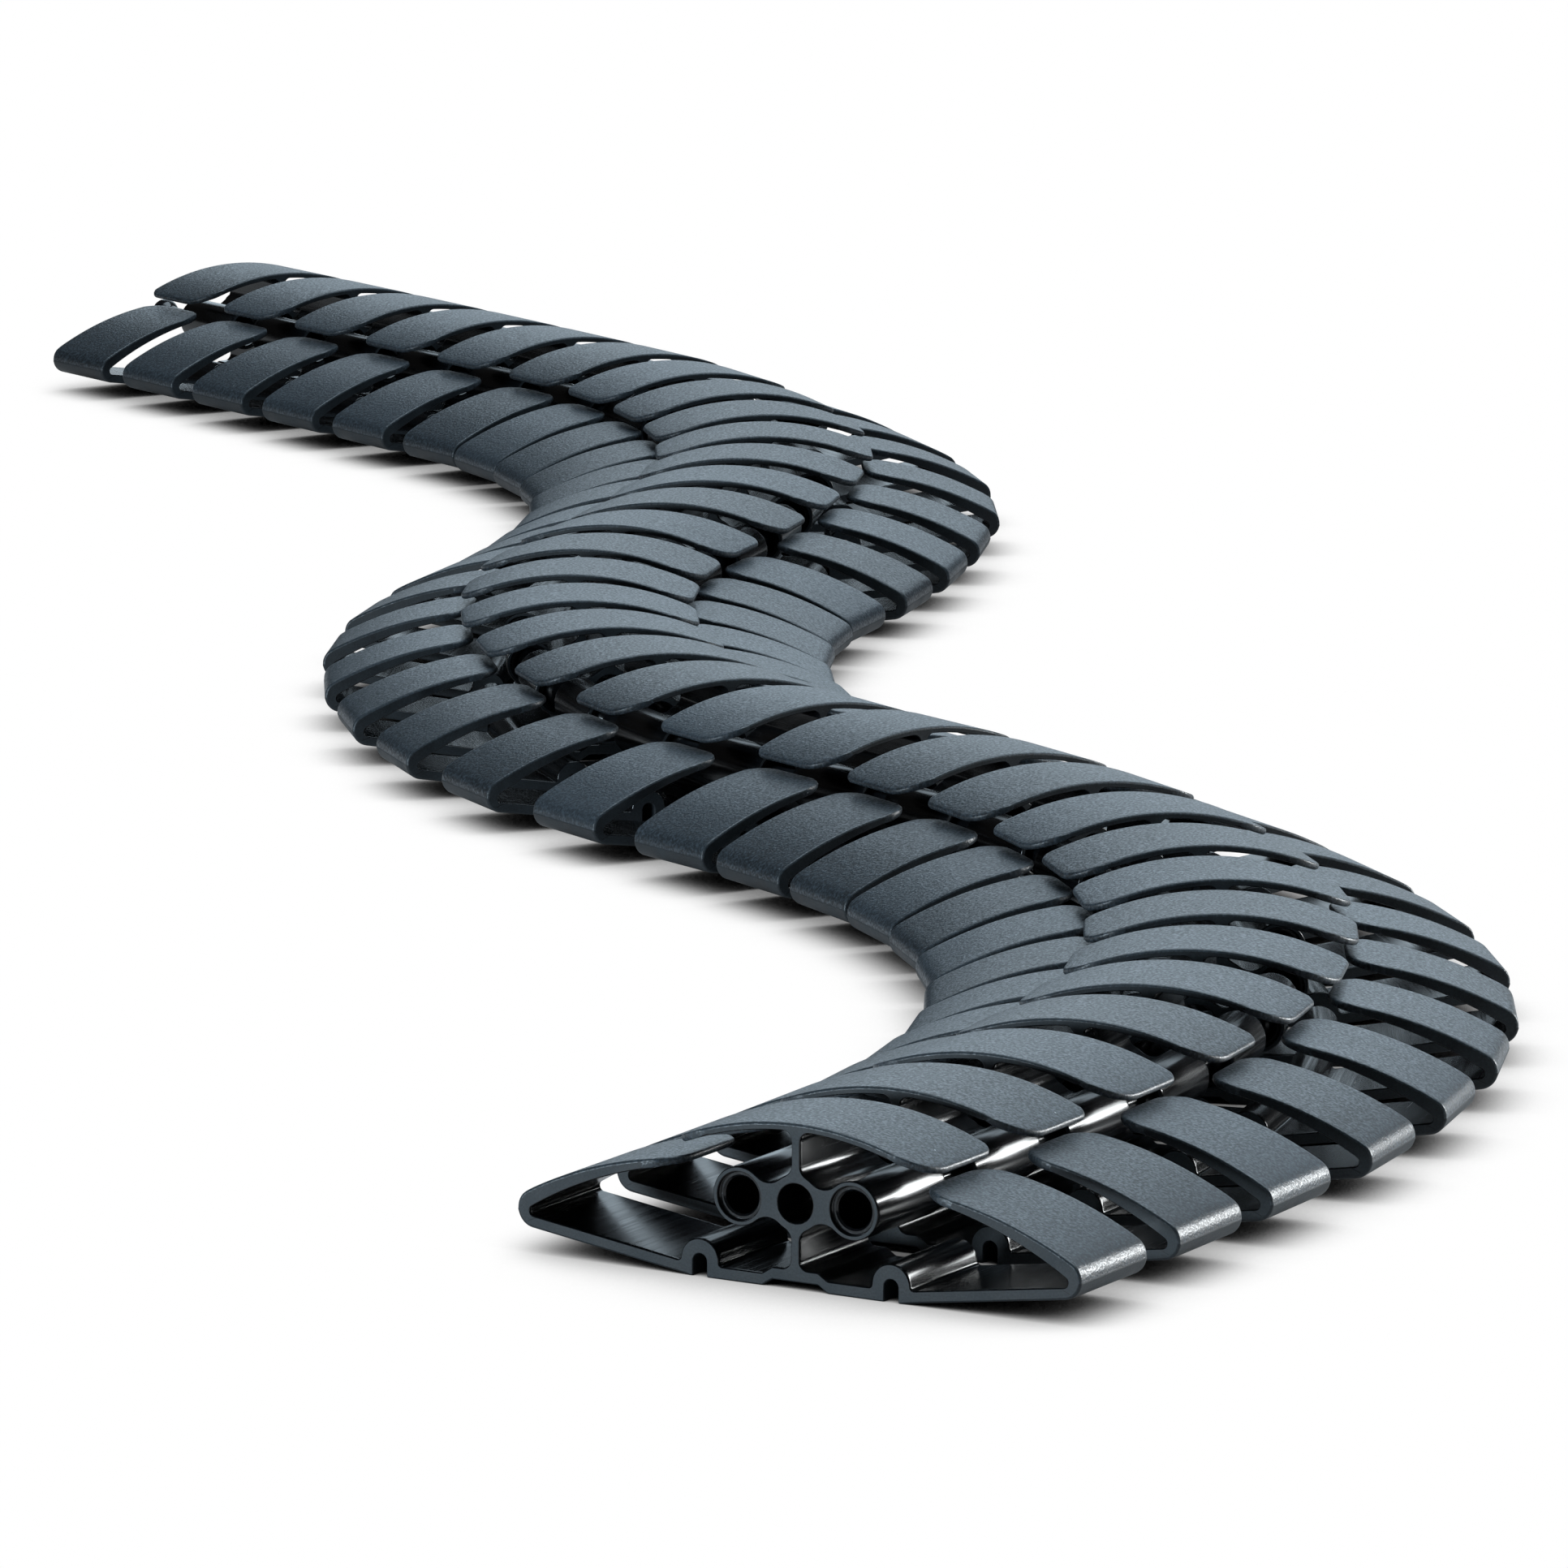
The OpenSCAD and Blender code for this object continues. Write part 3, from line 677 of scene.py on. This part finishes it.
# Seats and headings of the lay: a hinge's range is even about straight, so its middle tells the rest turn
def readLay():
    joints = {joint["child"]: joint for joint in frame["joints"]}
    bore = next(m for m in frame["record"]["mounts"] if m["name"] == "tether_bore")
    boreX, boreY = bore["pos_m"][:2]
    halfway = (vertebra["front"] + vertebra["rear"]) / 2  # where the mount lies on the bore
    firstY = boreY - halfway / 1000
    seats = [("vertebra_01", Vector((boreX, firstY, 0)), 0.0)]
    heading = 0.0
    for k in range(2, len(frame["nodes"]) + 1):
        name = "vertebra_%02d" % k
        heading -= sum(joints[name]["range_deg"]) / 2
        x, y = joints[name]["pos_m"][:2]
        seats.append((name, Vector((x, y, 0)), math.radians(heading)))
    return seats


moulding = makeVertebra()
layTree, laySockets = makeLayTree([erodedPolypropylene(), polishedPolypropylene(), dullPolypropylene()])
toneRandom = random.Random(7)  # each vertebra is a little lighter or darker
for name, seat, heading in readLay():
    carrier = bpy.data.objects.new(name + "_moulding", bpy.data.meshes.new(name + "_carrier"))
    scene.collection.objects.link(carrier)
    modifier = carrier.modifiers.new("layVertebra", "NODES")
    modifier.node_group = layTree
    modifier[laySockets["Moulding"]] = moulding
    modifier[laySockets["Seat"]] = seat
    modifier[laySockets["Heading"]] = heading
    modifier[laySockets["Tone"]] = toneRandom.random()
    evaluated = carrier.evaluated_get(bpy.context.evaluated_depsgraph_get())
    mesh = bpy.data.meshes.new_from_object(evaluated)
    carrier.modifiers.remove(modifier)
    carrier.data = mesh
    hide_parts(name)
    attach(carrier, name)
bpy.data.objects.remove(moulding)
print("vertebrae laid:", len(frame["nodes"]))

studio = {
    "camera": (1.08876, -1.79705, 0.38025), "cameraTurn": (79.4416, -0.3127, 30.2232),  # metres, degrees
    "lens": 260.82, "sensor": 36.0, "clip": (0.05, 50.0),
    "floorSize": 9.0, "floorColour": "#a9abad", "whiteSeen": 1.0, "whiteMirrored": 0.35, "worldLight": 0.03,
    "shadowReach": 0.045, "shadowSamples": 16, "shadowRange": (0.1, 0.85),
    "lamps": [  # name, place, aim, width, height, power, beam in degrees, colour
        ("overheadSoftbox", (0.25, 0.4, 2.0), (0.1, -0.1, 0.0), 1.6, 1.6, 44.0, 180.0, "#d3e6f3"),
        ("backSweep", (-1.36, 3.12, 1.4), (0.05, -0.1, 0.2), 2.15, 2.6, 28.0, 180.0, "#d3e6f3"),
        ("rightSoftbox", (0.84, 0.43, 0.26), (0.28, -0.34, 0.02), 0.5, 0.32, 1.2, 45.0, "#f3f7f8"),
        ("frontFill", (-0.3, -1.35, 0.1), (0.27, -0.38, 0.01), 0.5, 0.18, 11.0, 180.0, "#d3e6f3"),
    ],
}


# Matt paper, white to the camera but for a painted shadow near the part; glossy surfaces mirror it greyer
def whitePaper():
    s = studio
    material, tree = newMaterial("whitePaperFloor")
    path = addNode(tree, "ShaderNodeLightPath").outputs
    mirrored = addNode(tree, "ShaderNodeMath", {1: s["whiteMirrored"]}, {0: path["Is Glossy Ray"]},
                       operation="MULTIPLY").outputs[0]
    share = addNode(tree, "ShaderNodeMath", {1: s["whiteSeen"]}, {0: path["Is Camera Ray"], 2: mirrored},
                    operation="MULTIPLY_ADD").outputs[0]
    # painted shadow: the white the camera sees fades where the part closes in the floor, by ambient occlusion
    free = addNode(tree, "ShaderNodeAmbientOcclusion", {"Distance": s["shadowReach"]},
                   samples=s["shadowSamples"]).outputs["AO"]
    paintedShadowLevel = addNode(tree, "ShaderNodeMapRange",
                    {1: s["shadowRange"][0], 2: s["shadowRange"][1], 3: 0.0, 4: 1.0}, {0: free}).outputs[0]
    paper = addNode(tree, "ShaderNodeBsdfDiffuse", {"Color": hexToLinear(s["floorColour"])}).outputs[0]
    white = addNode(tree, "ShaderNodeEmission", {"Color": (1, 1, 1, 1)}, {"Strength": paintedShadowLevel}).outputs[0]
    mixed = addNode(tree, "ShaderNodeMixShader", None, {0: share, 1: paper, 2: white}).outputs[0]
    addNode(tree, "ShaderNodeOutputMaterial", links={"Surface": mixed})
    return material


def makeFloor():
    half = studio["floorSize"] / 2
    mesh = bpy.data.meshes.new("floor")
    corners = [(-half, -half, 0), (half, -half, 0), (half, half, 0), (-half, half, 0)]
    mesh.from_pydata(corners, [], [(0, 1, 2, 3)])
    mesh.materials.append(whitePaper())
    floor = bpy.data.objects.new("floor", mesh)
    scene.collection.objects.link(floor)


def makeWorld():
    world = bpy.data.worlds.new("studioWorld")
    world.use_nodes = True
    tree = world.node_tree
    tree.nodes.clear()
    path = addNode(tree, "ShaderNodeLightPath").outputs
    strength = addNode(tree, "ShaderNodeMapRange", {3: studio["worldLight"], 4: 1.0},
                       {0: path["Is Camera Ray"]}).outputs[0]
    light = addNode(tree, "ShaderNodeBackground", {"Color": (1, 1, 1, 1)}, {"Strength": strength}).outputs[0]
    addNode(tree, "ShaderNodeOutputWorld", links={"Surface": light})
    scene.world = world


def makeLamps():
    for name, place, aim, width, height, power, beam, colour in studio["lamps"]:
        lamp = bpy.data.lights.new(name, "AREA")
        lamp.shape = "RECTANGLE"
        lamp.size = width
        lamp.size_y = height
        lamp.energy = power
        lamp.spread = math.radians(beam)
        lamp.color = hexToLinear(colour)[:3]
        holder = bpy.data.objects.new(name, lamp)
        holder.location = place
        holder.visible_camera = False
        holder.rotation_euler = (Vector(aim) - Vector(place)).to_track_quat("-Z", "Y").to_euler()
        scene.collection.objects.link(holder)


def makeCamera():
    camera = bpy.data.objects.new("photoCamera", bpy.data.cameras.new("photoCamera"))
    camera.location = studio["camera"]
    camera.rotation_euler = Euler([math.radians(a) for a in studio["cameraTurn"]], "XYZ")
    camera.data.sensor_width = studio["sensor"]
    camera.data.lens = studio["lens"]
    camera.data.clip_start, camera.data.clip_end = studio["clip"]
    scene.collection.objects.link(camera)
    scene.camera = camera


makeFloor()
makeWorld()
makeLamps()
makeCamera()
print("studio set:", len(studio["lamps"]), "lamps")
